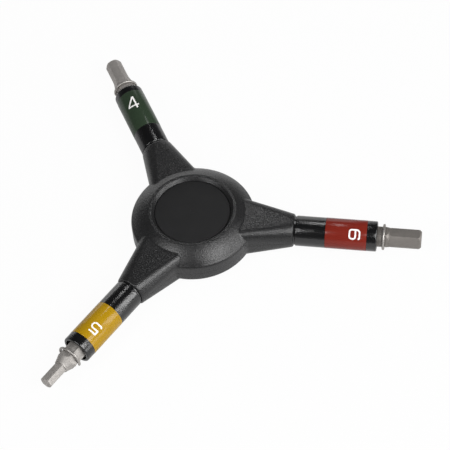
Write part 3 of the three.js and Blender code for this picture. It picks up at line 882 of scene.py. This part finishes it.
@dataclass(frozen=True)
class Hub:
    """The moulded hub: round body, three collars with fillets, made as two halves.

    A fillet's edge is found on each line of a collar by halving the stretch that it lies in,
    and the probe is the step over which the collar's slope is taken.
    """

    half_thickness: float = 7.6 * MM
    rim_radius: float = 20.57 * MM
    rim_half_height: float = 3.3 * MM
    crease_radius: float = 1.27 * MM
    dome_bulge: float = 0.3 * MM
    recess_radius: float = 13.5 * MM
    land_width: float = 1.0 * MM
    land_edge: float = 0.35 * MM
    lip_edge: float = 0.14 * MM
    recess_depth: float = 1.05 * MM
    recess_taper: float = 0.9 * MM
    cap_thickness: float = 1.2 * MM
    cap_gap: float = 0.12 * MM
    cap_edge: float = 0.3 * MM
    gate_radius: float = 0.75 * MM
    gate_floor_radius: float = 0.62 * MM
    gate_depth: float = 0.05 * MM
    gate_edge: float = 0.1 * MM
    collar_end: float = 33.6 * MM
    collar_end_radius: float = 5.26 * MM
    collar_end_round: float = 0.5 * MM
    collar_sink: float = 0.6 * MM
    collar_sink_share: float = 0.7
    root_half_width: float = 8.95 * MM
    root_half_height: float = 6.15 * MM
    root_corner: float = 2.5 * MM
    end_corner_share: float = 0.94
    root_draft: float = math.radians(3)
    bore_radius: float = 4.82 * MM
    bore_edge: float = 0.12 * MM
    bore_stop: float = 27.5 * MM
    fillet: float = 1.5 * MM
    fillet_sink: float = 0.05 * MM
    probe: float = 0.05 * MM
    halvings: int = 34
    parting: float = 0.035 * MM
    body_steps: int = 180
    cap_steps: int = 128
    crease_steps: int = 10
    dome_steps: int = 15
    edge_steps: int = 4
    cap_edge_steps: int = 5
    corner_steps: int = 10
    side_steps: int = 5
    fillet_steps: int = 8
    collar_steps: int = 8
    end_steps: int = 5

    @property
    def land_radius(self) -> float:
        """Outer edge of the flat land."""
        return self.recess_radius + self.land_width

    @property
    def floor_radius(self) -> float:
        """Foot of the recess wall."""
        return self.recess_radius - self.recess_taper

    @property
    def cap_face(self) -> float:
        """Height of the cap's face, which is the depth of the recess below the land."""
        return self.half_thickness - self.recess_depth

    @property
    def cap_seat(self) -> float:
        """Height of the seat under the cap."""
        return self.cap_face - self.cap_thickness

    def outer_profile(self) -> list[Point2]:
        """Draws the upper outline from the middle plane over rim, crease and dome.

        Returns:
            The points as (radius, height), up to just before the land.
        """
        rise = self.half_thickness - self.rim_half_height
        lean = math.pi / 2 - math.atan2(rise, self.rim_radius - self.land_radius)
        tangent = self.crease_radius * math.tan(lean / 2)
        middle = (self.rim_radius - self.crease_radius, self.rim_half_height - tangent)
        crease = arc(middle, self.crease_radius, 0, lean, self.crease_steps)
        radius, height = crease[-1]
        dome = []
        for k in range(1, self.dome_steps):
            share = k / self.dome_steps
            lift = bow(self.dome_bulge, share)
            out = mix(radius, self.land_radius, share) + lift * math.cos(lean)
            up = mix(height, self.half_thickness, share) + lift * math.sin(lean)
            dome.append((out, up))
        return [(self.rim_radius, 0.0), *crease, *dome]

    def body(self) -> Piece:
        """Spins the round body with the recess in both faces.

        Returns:
            The body, without collars.
        """
        outer = self.outer_profile()
        inner = rounded(
            [
                (*outer[-1], 0),
                (self.land_radius, self.half_thickness, self.land_edge),
                (self.recess_radius, self.half_thickness, self.lip_edge),
                (self.floor_radius, self.cap_face, 0),
                (self.floor_radius, self.cap_seat, 0),
                (0.0, self.cap_seat, 0),
            ],
            self.edge_steps,
        )
        upper = [*outer, *inner[1:]]
        lower = [(r, -z) for r, z in reversed(upper[1:])]
        return turned("hub_body", [*lower, *upper], self.body_steps, Axis.HUB)

    def section(self, distance: float, inset: float = 0.0) -> list[Point2]:
        """One section of a collar, as points (sideways, up) round the arm's axis.

        Args:
            distance: Where along the arm.
            inset: How far the whole section is drawn in.

        Returns:
            The points, starting at the middle plane on the +Y side.
        """
        share = (distance - self.land_radius) / (self.collar_end - self.land_radius)
        end = self.collar_end_radius
        half_width = mix(self.root_half_width, end, share) - inset
        half_height = mix(self.root_half_height, end, share) - inset
        corner = mix(self.root_corner, self.end_corner_share * end, share) - inset
        draft = self.root_draft * (1 - share)
        up = half_height - corner
        side = (half_width * math.cos(draft) - corner - up * math.sin(draft)) / math.cos(draft)
        bend = arc((side, up), corner, draft, math.pi / 2, self.corner_steps)
        (foot, rise), (reach, height) = bend[0], bend[-1]
        shares = [k / self.side_steps for k in range(self.side_steps)]
        wall = [(mix(half_width, foot, part), rise * part) for part in shares]
        top = [(reach * part, height) for part in reversed(shares)]
        quarter = [*wall, *bend, *top]
        half = [*quarter, *[(-y, z) for y, z in reversed(quarter[:-1])]]
        return [*half, *[(-y, -z) for y, z in half[1:-1]]]

    def ball(self, line: int, distance: float) -> tuple[Vector, Vector]:
        """Lays a ball of the fillet's radius against a collar.

        Args:
            line: The line along the collar, by the number of its point in each section.
            distance: Where along the arm.

        Returns:
            The point of the collar that the ball touches, and the ball's centre.
        """
        here, on = self.section(distance), self.section(distance + self.probe)[line]
        before, after = here[line - 1], here[(line + 1) % len(here)]
        point = Vector((distance, *here[line]))
        along = Vector((self.probe, on[0] - point.y, on[1] - point.z))
        across = Vector((0, after[0] - before[0], after[1] - before[1]))
        normal = across.cross(along).normalized()
        if normal.dot(Vector((0, point.y, point.z))) < 0:
            normal.negate()
        return point, point + normal * self.fillet

    @staticmethod
    def nearest(profile: Sequence[Point2], centre: Vector) -> tuple[float, Vector]:
        """Finds the point of the round body nearest to a ball's centre.

        Args:
            profile: The body's upper outline.
            centre: The ball's centre.

        Returns:
            How far the body is, less than 0 from inside, and the point.
        """
        radius, height = math.hypot(centre.x, centre.y), abs(centre.z)
        found = []
        for (r0, z0), (r1, z1) in zip(profile, profile[1:]):
            dr, dz = r1 - r0, z1 - z0
            share = ((radius - r0) * dr + (height - z0) * dz) / (dr * dr + dz * dz)
            share = min(1.0, max(0.0, share))
            r, z = r0 + dr * share, z0 + dz * share
            outside = dz * (radius - r) - dr * (height - z) >= 0
            found.append((math.hypot(radius - r, height - z), outside, r, z))
        away, outside, r, z = min(found, key=lambda one: one[0])
        spot = (centre.x * r / radius, centre.y * r / radius, math.copysign(z, centre.z))
        return away if outside else -away, Vector(spot)

    def fillet_rings(self) -> tuple[list[list[Point3]], list[float]]:
        """Rolls a ball round the corner between a collar and the body.

        Returns:
            The rings of the fillet, from the body to the collar, and the distance along
            the arm at which each line of the collar leaves it.
        """
        profile = self.outer_profile()
        columns: list[list[Point3]] = []
        leaves: list[float] = []
        for line in range(len(self.section(self.land_radius))):
            low, high = self.floor_radius, self.collar_end
            for _ in range(self.halvings):
                middle = (low + high) / 2
                gap, _spot = self.nearest(profile, self.ball(line, middle)[1])
                low, high = (low, middle) if gap > self.fillet else (middle, high)
            point, centre = self.ball(line, high)
            _gap, spot = self.nearest(profile, centre)
            first, last = spot - centre, point - centre
            whole = first.angle(last)
            column = [tuple(spot + first.normalized() * self.fillet_sink)]
            for k in range(self.fillet_steps + 1):
                angle = whole * k / self.fillet_steps
                spoke = first * math.sin(whole - angle) + last * math.sin(angle)
                column.append(tuple(centre + spoke / math.sin(whole)))
            columns.append(column)
            leaves.append(high)
        return [list(ring) for ring in zip(*columns)], leaves

    def collar_rings(self) -> list[list[Point3]]:
        """Draws a collar, from deep in the body out to its end and back into the bore.

        Returns:
            All its rings in order.
        """
        fillet, leaves = self.fillet_rings()
        deep, part = self.floor_radius - self.collar_sink, self.collar_sink_share
        rings = [[(deep, y * part, z * part) for y, z in self.section(deep)], *fillet]
        straight_end = self.collar_end - self.collar_end_round
        for k in range(1, self.collar_steps + 1):
            places = [mix(leave, straight_end, k / self.collar_steps) for leave in leaves]
            rings.append([(at, *self.section(at)[line]) for line, at in enumerate(places)])
        for k in range(1, self.end_steps + 1):
            angle = math.pi / 2 * k / self.end_steps
            inset = self.collar_end_round * (1 - math.cos(angle))
            at = straight_end + self.collar_end_round * math.sin(angle)
            rings.append([(at, y, z) for y, z in self.section(at, inset)])
        spokes = [(y / math.hypot(y, z), z / math.hypot(y, z)) for _, y, z in rings[-1]]
        for radius, at in (
            (self.bore_radius + self.bore_edge, self.collar_end),
            (self.bore_radius, self.collar_end - self.bore_edge),
            (self.bore_radius, self.bore_stop),
        ):
            rings.append([(at, y * radius, z * radius) for y, z in spokes])
        return rings

    def whole(self) -> Piece:
        """Joins the body and its three collars.

        Returns:
            The hub in one piece.
        """
        hub = self.body()
        collar = bridged("collar", self.collar_rings())
        for arm in ARMS:
            twin = turned_to(copied(collar, f"collar_{arm.label}"), arm.turn)
            combined(hub, twin, Combine.ADD)
        discard(collar)
        return hub

    def upper_half(self) -> Piece:
        """Cuts the hub at the parting plane, closes it there and drops stray edges.

        Returns:
            The upper half.
        """
        half = self.whole()
        with editing(half, Pick.EDGES):
            bpy.ops.mesh.remove_doubles(threshold=CLOSE)
            bpy.ops.mesh.bisect(
                plane_co=(0, 0, self.parting),
                plane_no=(0, 0, 1),
                use_fill=True,
                clear_inner=True,
                threshold=CLOSE,
            )
            bpy.ops.mesh.select_all(action="SELECT")
            bpy.ops.mesh.delete_loose(use_faces=False)
        return named(half, "hub_upper")

    def cap(self) -> Piece:
        """Turns the upper cap: a thin disc with a rounded edge and a faint gate mark.

        Returns:
            The cap.
        """
        face, seat = self.cap_face, self.cap_seat
        radius = self.floor_radius - self.cap_gap
        profile = rounded(
            [
                (0.0, seat, 0),
                (radius, seat, 0),
                (radius, face, self.cap_edge),
                (self.gate_radius, face, self.gate_edge),
                (self.gate_floor_radius, face - self.gate_depth, self.gate_edge),
                (0.0, face - self.gate_depth, 0),
            ],
            self.cap_edge_steps,
        )
        return turned("cap_upper", profile, self.cap_steps, Axis.HUB)

    def build(self, plastic: Material, smooth: Material) -> None:
        """Makes and dresses both halves and both caps.

        Args:
            plastic: The finish of the halves.
            smooth: The finish of the caps.
        """
        for upper, name, material, slot, node in (
            (self.upper_half(), "hub_lower", plastic, "hub_plastic", "hub_shell"),
            (self.cap(), "cap_lower", smooth, "cap_plastic", "centre_cap"),
        ):
            lower = mirrored(upper, name)
            for piece, side in ((upper, "upper"), (lower, "lower")):
                dressed(softened(piece), material, "wrench_body", [f"{node}_{side}"])


# Arms: holders, bands, numerals, bits and rings


@dataclass(frozen=True)
class Holder:
    """A bit holder with its size band and numeral."""

    radius: float = 5.0 * MM
    spigot_radius: float = 4.7 * MM
    neck_radius: float = 3.8 * MM
    root_start: float = 12.95 * MM
    root_length: float = 6 * MM
    root_across_flats: float = 7.9 * MM
    neck_width: float = 1.8 * MM
    start: float = 34.1 * MM
    mouth: float = HOLDER_MOUTH
    edge: float = 0.4 * MM
    hexagon_edge: float = 0.09 * MM
    socket_across_flats: float = 6.55 * MM
    socket_depth: float = 14.4 * MM
    magnet_radius: float = 2.62 * MM
    magnet_room: float = 4.3 * MM
    relief_radius: float = 4.08 * MM
    relief_depth: float = 1.3 * MM
    relief_edge: float = 0.12 * MM
    band_thickness: float = 0.3 * MM
    band_proud: float = 0.04 * MM
    band_gap: float = 0.04 * MM
    band_lift: float = 0.02 * MM
    band_edge: float = 0.06 * MM
    stroke_width: float = 0.54 * MM
    stroke_thickness: float = 0.03 * MM
    stroke_lift: float = 0.012 * MM
    stroke_lift_step: float = 0.004 * MM
    widest_mitre: float = 0.5
    wrap_step: float = 0.25 * MM
    wraps: int = 9
    steps: int = 96
    magnet_hole_steps: int = 32
    edge_steps: int = 4
    band_edge_steps: int = 3
    bend_steps: int = 6

    def barrel(self, arm: Arm) -> Piece:
        """The holder itself, along +X.

        Args:
            arm: The arm that it is made for.

        Returns:
            The holder with its root, socket and band seat.
        """
        root_stop = self.root_start + self.root_length
        middle = root_stop - self.neck_width / 2
        neck_stop = root_stop + self.neck_width
        band_stop = self.mouth - arm.band_inset + self.band_gap
        band_start = band_stop - arm.band_length - 2 * self.band_gap
        band_seat = self.radius - self.band_thickness
        relief_floor = self.mouth - self.relief_depth
        profile = rounded(
            [
                (0.0, middle, 0),
                (self.neck_radius, middle, 0),
                (self.neck_radius, neck_stop, 0),
                (self.spigot_radius, neck_stop, 0),
                (self.spigot_radius, self.start, 0),
                (self.radius, self.start, self.edge),
                (self.radius, band_start, 0),
                (band_seat, band_start, 0),
                (band_seat, band_stop, 0),
                (self.radius, band_stop, 0),
                (self.radius, self.mouth, self.edge),
                (self.relief_radius, self.mouth, self.relief_edge),
                (self.relief_radius, relief_floor, 0),
                (0.0, relief_floor, 0),
            ],
            self.edge_steps,
        )
        barrel = turned("barrel", profile, self.steps, Axis.ARM)
        floor = self.mouth - self.socket_depth
        for name, across_flats, start, stop, turn, how in (
            ("root", self.root_across_flats, self.root_start, root_stop, 0, Combine.ADD),
            ("socket", self.socket_across_flats, floor, self.mouth, arm.socket_turn, Combine.CUT),
        ):
            bar = hex_bar(name, across_flats, start, stop, turn, self.hexagon_edge)
            combined(barrel, bar, how)
        low, high, radius = floor - self.magnet_room, floor + OVERRUN, self.magnet_radius
        hole = [(0.0, low), (radius, low), (radius, high), (0.0, high)]
        drill = turned("magnet_hole", hole, self.magnet_hole_steps, Axis.ARM)
        return combined(barrel, drill, Combine.CUT)

    def band(self, arm: Arm) -> Piece:
        """The size band, a sleeve with softly rounded edges.

        Args:
            arm: The arm that it is made for.

        Returns:
            The band, along +X.
        """
        stop = self.mouth - arm.band_inset
        start = stop - arm.band_length
        outer = self.radius + self.band_proud
        inner = self.radius - self.band_thickness + self.band_lift
        profile = rounded(
            [
                (inner, start, 0),
                (outer, start, self.band_edge),
                (outer, stop, self.band_edge),
                (inner, stop, 0),
                (inner, start, 0),
            ],
            self.band_edge_steps,
        )
        return turned("sleeve", profile, self.steps, Axis.ARM)

    def stroke(self, corners: Sequence[Corner], lift: float) -> Piece:
        """One pen stroke of a numeral, lying flat: a strip of even width.

        Args:
            corners: Its middle line in millimetres, as (right, up, rounding).
            lift: Height of its face above the band.

        Returns:
            The stroke, with a little thickness.
        """
        line = [Vector(point) * MM for point in rounded(corners, self.bend_steps)]
        last = len(line) - 1
        add = bpy.ops.mesh.primitive_grid_add
        strip = started("stroke", add, x_subdivisions=last, y_subdivisions=1)
        for k, point in enumerate(line):
            back = (point - line[max(k - 1, 0)]).normalized()
            on = (line[min(k + 1, last)] - point).normalized()
            along = (back + on).normalized()
            mitre = max(along.dot(on if on.length else back), self.widest_mitre)
            side = Vector((-along.y, along.x)) * (self.stroke_width / 2 / mitre)
            for row, sign in ((0, -1), (1, 1)):
                place = point + side * sign
                vertex = strip.data.vertices[row * len(line) + k]
                vertex.co = (place.x, place.y, lift)
        settle(strip)
        skin = strip.modifiers.new("skin", "SOLIDIFY")
        skin.thickness = self.stroke_thickness
        return applied(strip, skin)

    def numeral(self, arm: Arm) -> Piece:
        """The numeral, wrapped round the band with its top pointing outwards.

        Args:
            arm: The arm that it marks.

        Returns:
            The numeral as a thin skin.
        """
        strokes = [
            self.stroke(corners, self.stroke_lift + self.stroke_lift_step * k)
            for k, corners in enumerate(arm.strokes)
        ]
        mark = joined("numeral", strokes)
        with editing(mark):
            for k in range(-self.wraps, self.wraps + 1):
                bpy.ops.mesh.select_all(action="SELECT")
                fold = (k * self.wrap_step, 0, 0)
                bpy.ops.mesh.bisect(plane_co=fold, plane_no=(1, 0, 0), threshold=CLOSE)
        reach = self.radius + self.band_proud
        middle = math.radians(arm.numeral_angle_degrees)
        for vertex in mark.data.vertices:
            right, up, lift = vertex.co
            angle = middle + right / reach
            y, z = ((reach + lift) * math.cos(angle), (reach + lift) * math.sin(angle))
            vertex.co = (arm.numeral_at + up, y, z)
        with editing(mark):
            close_skin()
        return mark

    def build(self, arm: Arm, coat: Material, paint: Material) -> None:
        """Makes and dresses one holder, its band and its numeral.

        Args:
            arm: The arm.
            coat: The finish of the holder.
            paint: The finish of the numeral.
        """
        label, band_slot = arm.label, arm.band_slot
        film = GlossyFilm(f"film_{label}", arm.band_colour).material()
        for piece, name, material, slot, nodes in (
            (self.barrel(arm), "holder", coat, "coated_steel", [f"holder_tube_{label}"]),
            (self.band(arm), "band", film, band_slot, [f"size_band_{label}"]),
            (self.numeral(arm), "numeral", paint, band_slot, []),
        ):
            softened(turned_to(named(piece, f"{name}_{label}"), arm.turn))
            dressed(piece, material, "wrench_body", nodes)


@dataclass(frozen=True)
class Bit:
    """A hex bit with its snap ring."""

    shank_across_flats: float = 6.35 * MM
    shank_start: float = 46.65 * MM
    shank_chamfer: float = 0.5 * MM
    shank_edge: float = 0.15 * MM
    long_edge: float = 0.08 * MM
    tip_shoulder: float = 0.5 * MM
    tip_edge: float = 0.25 * MM
    mouth: float = HOLDER_MOUTH
    grooved_radius: float = 3.36 * MM
    wire_radius: float = 0.42 * MM
    gap: float = 0.12 * MM
    corner_run_out: float = 0.8 * MM
    ledge: float = 0.03 * MM
    cone_hollow: float = 0.07
    opening: float = math.radians(50)
    steps: int = 72
    wire_steps: int = 16
    edge_steps: int = 4
    cone_steps: int = 8
    flare_steps: int = 12
    soft_degrees: float = 25

    def ring_at(self, arm: Arm) -> float:
        """Where the middle of the ring lies along the arm."""
        return self.mouth + arm.ring_stand_off

    def steel(self, arm: Arm) -> Piece:
        """The bit along +X: a bar of hexagons kept to a turned outline.

        Args:
            arm: The arm that carries it.

        Returns:
            The bit.
        """
        ring = self.ring_at(arm)
        cone_start = ring + arm.stub_length
        driver_start = cone_start + arm.cone_length + arm.neck_length
        tip = driver_start + arm.driver_length
        shank, driver = self.shank_across_flats, arm.driver_across_flats
        shank_corner = shank / 2 * CORNER_OF_FLAT
        driver_corner = driver / 2 * CORNER_OF_FLAT
        start = cone_start if arm.flared else driver_start - self.ledge
        steps = self.flare_steps if arm.flared else 1
        bars = [(self.shank_start - OVERRUN, shank)]
        for share in (k / steps for k in range(steps + 1)):
            flare = (shank - driver) * (1 - share) ** 2
            bars.append((mix(start, driver_start, share), driver + flare))
        bars.append((tip + OVERRUN, driver))
        bar = bridged("bar", [hexagon(at, width, arm.socket_turn) for at, width in bars])
        break_long_edges(bar, self.long_edge)
        cone = []
        for share in (k / self.cone_steps for k in range(self.cone_steps + 1)):
            drop = (share + bow(self.cone_hollow, share)) * (shank_corner - arm.neck_radius)
            cone.append((shank_corner - drop, cone_start + arm.cone_length * share, 0))
        groove = self.wire_radius + self.gap
        wide = max(driver_corner, arm.neck_radius)
        outline = rounded(
            [
                (0.0, self.shank_start, 0),
                (shank_corner - self.shank_chamfer, self.shank_start, self.shank_edge),
                (shank_corner, self.shank_start + self.shank_chamfer, self.shank_edge),
                (shank_corner, ring - groove, 0),
                (self.grooved_radius, ring - groove, 0),
                (self.grooved_radius, ring + groove, 0),
                (shank_corner, ring + groove, 0),
                *cone,
                (arm.neck_radius, driver_start, 0),
                (wide, driver_start + self.corner_run_out, 0),
                (wide, tip - arm.tip_chamfer, self.tip_shoulder),
                (driver_corner - arm.tip_chamfer, tip, self.tip_edge),
                (0.0, tip, 0),
            ],
            self.edge_steps,
        )
        turning = turned("turning", outline, self.steps, Axis.ARM)
        return combined(bar, turning, Combine.KEEP)

    def ring(self, arm: Arm) -> Piece:
        """The open snap ring: a circle of wire spun round the arm, both ends closed.

        Args:
            arm: The arm that carries it.

        Returns:
            The ring.
        """
        ring = started(
            "ring",
            bpy.ops.mesh.primitive_circle_add,
            vertices=self.wire_steps,
            radius=self.wire_radius,
            fill_type="NGON",
            location=(self.ring_at(arm), self.grooved_radius + self.gap + self.wire_radius, 0),
        )
        settle(ring).rotation_euler = (self.opening / 2 - math.pi / 2, 0, 0)
        with editing(settle(ring)):
            spin(self.steps, 2 * math.pi - self.opening, Axis.ARM)
        return ring

    def build(self, arm: Arm, wire: Material) -> None:
        """Makes and dresses one bit and its ring.

        Args:
            arm: The arm.
            wire: The finish of the ring.
        """
        steel = SatinSteel(f"satin_steel_{arm.bit}", arm.steel, turn=arm.turn).material()
        for piece, name, material, slot, node in (
            (self.steel(arm), "driver", steel, "bit_steel", "hex_bit"),
            (self.ring(arm), "snap_ring", wire, "ring_steel", "retaining_ring"),
        ):
            turned_to(named(piece, f"{name}_{arm.bit}"), arm.turn)
            softened(piece, self.soft_degrees)
            dressed(piece, material, f"bit_{arm.bit}", [f"{node}_{arm.bit}"])


# Studio


@dataclass(frozen=True)
class SoftBox:
    """A rectangular soft light that faces the hub."""

    name: str
    direction: Point3
    distance: float
    width: float
    height: float
    power: float

    def build(self) -> None:
        """Hangs the light."""
        light = bpy.data.lights.new(self.name, "AREA")
        light.shape = "RECTANGLE"
        light.size = self.width
        light.size_y = self.height
        light.energy = self.power
        holder = bpy.data.objects.new(self.name, light)
        towards = Vector(self.direction).normalized()
        holder.location = towards * self.distance
        holder.rotation_mode = "QUATERNION"
        holder.rotation_quaternion = towards.to_track_quat("Z", "Y")
        bpy.context.scene.collection.objects.link(holder)


@dataclass(frozen=True)
class Studio:
    """Floor, surroundings and lights.

    The floor glow is how much of the floor's own white the camera sees, and the gloss share
    is the part of that which a gloss or a clear body shows. The fade height is where the
    surroundings have gone from horizon to zenith, as the upright part of a direction.
    """

    floor_height: float = -7.62 * MM
    floor_size: float = 6.0
    floor_colour: Colour = (0.7, 0.7, 0.7)
    floor_glow: float = 0.96
    gloss_share: float = 0.35
    horizon: Colour = (0.16, 0.16, 0.16)
    zenith: Colour = (0.04, 0.04, 0.04)
    fade_height: float = 0.6
    lights: tuple[SoftBox, ...] = (
        SoftBox("right_window", (0.88, 0.02, 0.47), 0.8, 0.2, 0.55, 2.2),
        SoftBox("right_low", (0.92, -0.36, 0.14), 0.8, 0.3, 0.25, 0.9),
        SoftBox("front_right", (0.56, -0.44, 0.71), 0.8, 0.4, 0.4, 4.5),
        SoftBox("front_left", (-0.46, -0.54, 0.7), 0.8, 0.25, 0.4, 2.8),
        SoftBox("left_back", (-0.5, 0.85, 0.1), 0.8, 0.45, 0.2, 0.45),
        SoftBox("back", (-0.13, 0.95, 0.22), 0.8, 0.35, 0.35, 0.42),
        SoftBox("near_strip", (0.03, 0.54, 0.84), 0.296, 0.022, 0.095, 0.075),
    )

    def floor(self) -> None:
        """Lays the plain pale floor."""
        place, add = (0, 0, self.floor_height), bpy.ops.mesh.primitive_plane_add
        floor = settle(started("studio_floor", add, size=self.floor_size, location=place))
        made = bpy.data.materials.new("floor_white")
        sheet = NodeSheet(made)
        paper = sheet.add("BsdfDiffuse", {"Color": (*self.floor_colour, 1)})
        white = sheet.add("Emission", {"Strength": 1.0})
        glow = sheet.worked_out("MULTIPLY", self.seen_rays(sheet), self.floor_glow)
        sheet.end("Material", sheet.add("MixShader", {0: glow, 1: paper, 2: white}))
        floor.data.materials.append(made)

    def seen_rays(self, sheet: NodeSheet) -> Socket:
        """Sorts the rays by what sends them.

        Args:
            sheet: The floor's nodes.

        Returns:
            1 for the camera's rays, the gloss share for those of a gloss or a clear body,
            and 0 for others.
        """
        camera, glossy, clear = (
            sheet.add("LightPath", {}, f"Is {kind} Ray")
            for kind in ("Camera", "Glossy", "Transmission")
        )
        mirrored_rays = sheet.worked_out("MAXIMUM", glossy, clear)
        weak = sheet.worked_out("MULTIPLY", mirrored_rays, self.gloss_share)
        return sheet.worked_out("MAXIMUM", camera, weak)

    def surroundings(self) -> None:
        """Draws a pale horizon under a darker ceiling."""
        world = bpy.data.worlds.new("studio")
        bpy.context.scene.world = world
        sheet = NodeSheet(world)
        where = sheet.add("TexCoord", {}, "Generated")
        height = sheet.add("SeparateXYZ", {"Vector": where}, "Z")
        share = sheet.add("MapRange", {"Value": height, "From Max": self.fade_height})
        colour = sheet.tint(share, self.horizon, self.zenith)
        sheet.end("World", sheet.add("Background", {"Color": colour}))

    def build(self) -> None:
        """Sets up floor, surroundings and lights."""
        self.floor()
        self.surroundings()
        for light in self.lights:
            light.build()
        bpy.context.scene.view_settings.view_transform = "Standard"


@dataclass(frozen=True)
class PhotoCamera:
    """The camera, at the place found by fitting the arms and the hub to the photograph."""

    azimuth: float = math.radians(11.6274)
    elevation: float = math.radians(54.1245)
    roll: float = math.radians(-5.251)
    distance: float = 617.7662 * MM
    shift_right: float = -10.371 * MM
    shift_up: float = 0.6714 * MM
    focal_pixels: float = 1860.8792
    image_pixels: float = 450.0
    sensor: float = 36.0
    nearest: float = 0.01
    farthest: float = 20.0

    def build(self) -> None:
        """Sets the camera up and makes it the scene's."""
        data = bpy.data.cameras.new("photo_camera")
        data.sensor_width = self.sensor
        data.lens = self.focal_pixels * self.sensor / self.image_pixels
        data.clip_start = self.nearest
        data.clip_end = self.farthest
        camera = bpy.data.objects.new("photo_camera", data)
        sine, cosine = math.sin(self.azimuth), math.cos(self.azimuth)
        flat, upward = math.cos(self.elevation), math.sin(self.elevation)
        back = Vector((sine * flat, -cosine * flat, upward))
        level = Vector((cosine, sine, 0))
        rise = back.cross(level)
        right = level * math.cos(self.roll) + rise * math.sin(self.roll)
        up = rise * math.cos(self.roll) - level * math.sin(self.roll)
        axes = Matrix((right, up, back)).transposed()
        spot = back * self.distance - right * self.shift_right - up * self.shift_up
        camera.matrix_world = Matrix.Translation(spot) @ axes.to_4x4()
        bpy.context.scene.collection.objects.link(camera)
        bpy.context.scene.camera = camera


def corners(box: tuple[Vector, Vector]) -> list[list[float]]:
    """A box as plain lists of numbers."""
    return [list(corner) for corner in box]


def main() -> None:
    """Loads the solids, dresses them, and sets up the studio and the camera."""
    logging.basicConfig(level=logging.INFO, format="%(message)s")
    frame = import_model()
    PhotoCamera().build()
    Studio().build()
    coat, paint = TexturedCoat().material(), MarkingPaint().material()
    wire, nickel = SPRING_WIRE.material(), NICKEL_PLATE.material()
    blackened = BLACKENED_STEEL.material()
    Hub().build(GrainedPlastic().material(), SmoothPlastic().material())
    for arm in ARMS:
        Holder().build(arm, coat, paint)
        Bit().build(arm, wire)
        clad(frame["nodes"][f"socket_magnet_{arm.label}"], nickel)
    for screw in CLOSING_SCREWS:
        clad(frame["nodes"][screw], blackened)


if __name__ == "__main__":
    main()
